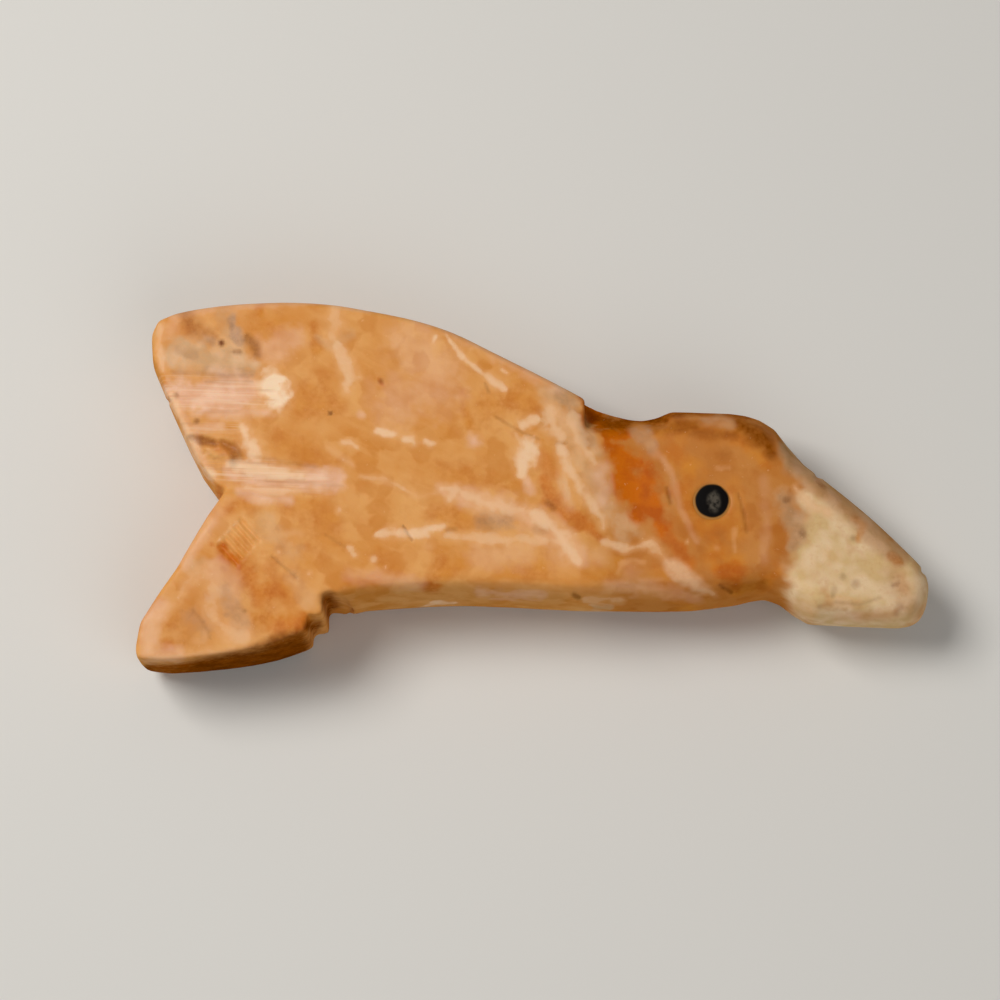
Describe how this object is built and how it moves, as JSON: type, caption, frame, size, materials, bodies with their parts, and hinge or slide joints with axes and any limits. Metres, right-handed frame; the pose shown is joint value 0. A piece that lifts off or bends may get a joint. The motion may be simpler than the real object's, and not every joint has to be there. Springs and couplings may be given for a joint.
{
  "type": "zuni fetish",
  "caption": "Small bird carved from a flat slab of honey-banded stone, lying on its flank, with a notch between wing and tail, a long beak and an inlaid jet eye on each side.",
  "frame": {"origin": "on the surface the bird lies on, under the middle of its bounding box", "axes": "+X from the tail to the beak, +Y from the belly to the back, +Z out of the right flank, which faces up"},
  "size_m": [0.0502, 0.0232, 0.0084],
  "materials": {
    "honey_stone": "satin",
    "jet": "polished"
  },
  "bodies": {
    "root": {"stone_bird": "honey_stone", "right_eye": "jet", "left_eye": "jet"}
  },
  "joints": []
}
